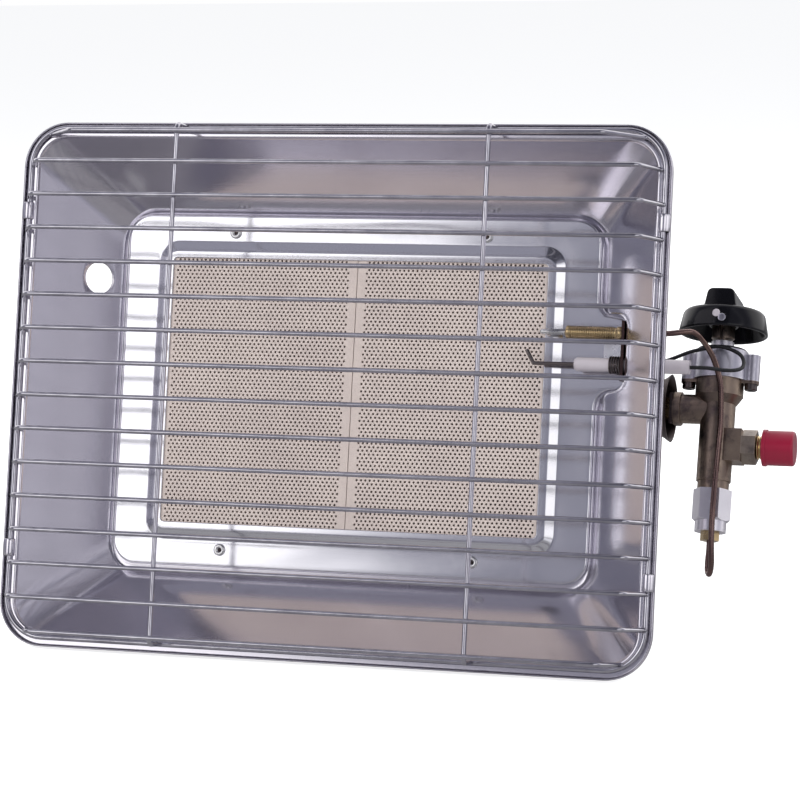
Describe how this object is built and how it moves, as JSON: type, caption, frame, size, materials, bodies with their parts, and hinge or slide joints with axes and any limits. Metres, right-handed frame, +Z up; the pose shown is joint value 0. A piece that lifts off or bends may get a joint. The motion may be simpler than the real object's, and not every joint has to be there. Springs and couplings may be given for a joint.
{
  "type": "portable propane heater",
  "caption": "Tabletop gas heater with a bright sheet reflector, ceramic tile burner, wire guard, press-and-turn valve and a folding wire stand.",
  "frame": {"origin": "middle of the footprint box, on the ground the heater stands on", "axes": "+Z up, -Y the way the burner faces, +X to the viewer's right, towards the valve"},
  "size_m": [0.4086, 0.224, 0.2732],
  "materials": {
    "bright_steel": "bright rolled",
    "wire": "bright plated",
    "frame_steel": "bright rolled",
    "rivet_alu": "satin",
    "burner_ceramic": "porous fired ceramic",
    "fibre": "matte fibre felt",
    "aluminised": "dull aluminised steel",
    "dark_steel": "dark oxidised",
    "brass_body": "aged",
    "brass_bright": "machined",
    "copper": "drawn copper",
    "white_ceramic": "glazed ceramic",
    "lead_black": "silicone rubber",
    "terminal_black": "moulded",
    "zinc": "raw zinc die casting",
    "screw_steel": "zinc plated",
    "knob_black": "glossy moulded",
    "cap_red": "moulded",
    "magnet_steel": "phosphated"
  },
  "bodies": {
    "heater": {"reflector": "bright_steel", "guard_ring": "wire", "guard_bars": "wire", "guard_uprights": "wire", "burner_frame": "frame_steel", "frame_rivets": "rivet_alu", "tile_left": "burner_ceramic", "tile_right": "burner_ceramic", "tile_gasket": "fibre", "frame_gasket": "fibre", "diffuser": "aluminised", "burner_box": "aluminised", "venturi": "dark_steel", "jet_bracket": "dark_steel", "jet": "brass_bright", "probe_bracket": "dark_steel", "sensor_sleeve": "brass_bright", "sensor_tip": "dark_steel", "copper_lead": "copper", "sensor_nut": "brass_bright", "electrode_ceramic": "white_ceramic", "electrode_rod": "dark_steel", "electrode_spring": "screw_steel", "spark_lead": "lead_black", "spark_terminal": "terminal_black", "valve_body": "brass_body", "valve_head": "zinc", "head_screws": "screw_steel", "magnet_nut": "magnet_steel", "inlet_hex": "brass_bright", "inlet_nipple": "brass_bright", "stand_bracket": "aluminised", "back_screws": "screw_steel"},
    "knob_press": {"stem_collar": "screw_steel"},
    "knob": {"spindle": "screw_steel", "knob": "knob_black"},
    "dust_cap": {"inlet_cap": "cap_red"},
    "stand": {"stand_wire": "wire"}
  },
  "joints": [
    {"name": "knob_push", "type": "slide", "parent": "heater", "child": "knob_press", "axis": [0, -0.3907, -0.9205], "range_m": [0, 0.004], "stiffness_N_per_m": 900, "springref_m": -0.004},
    {"name": "knob_turn", "type": "hinge", "parent": "knob_press", "child": "knob", "pos_m": [0.163, 0.02839, 0.16068], "axis": [0, 0.3907, 0.9205], "range_deg": [0, 180]},
    {"name": "cap_pull", "type": "slide", "parent": "heater", "child": "dust_cap", "axis": [1, 0, 0], "range_m": [0, 0.022]},
    {"name": "stand_fold", "type": "hinge", "parent": "heater", "child": "stand", "pos_m": [-0.0283, 0.04004, 0.13834], "axis": [-1, 0, 0], "range_deg": [0, 42]}
  ]
}
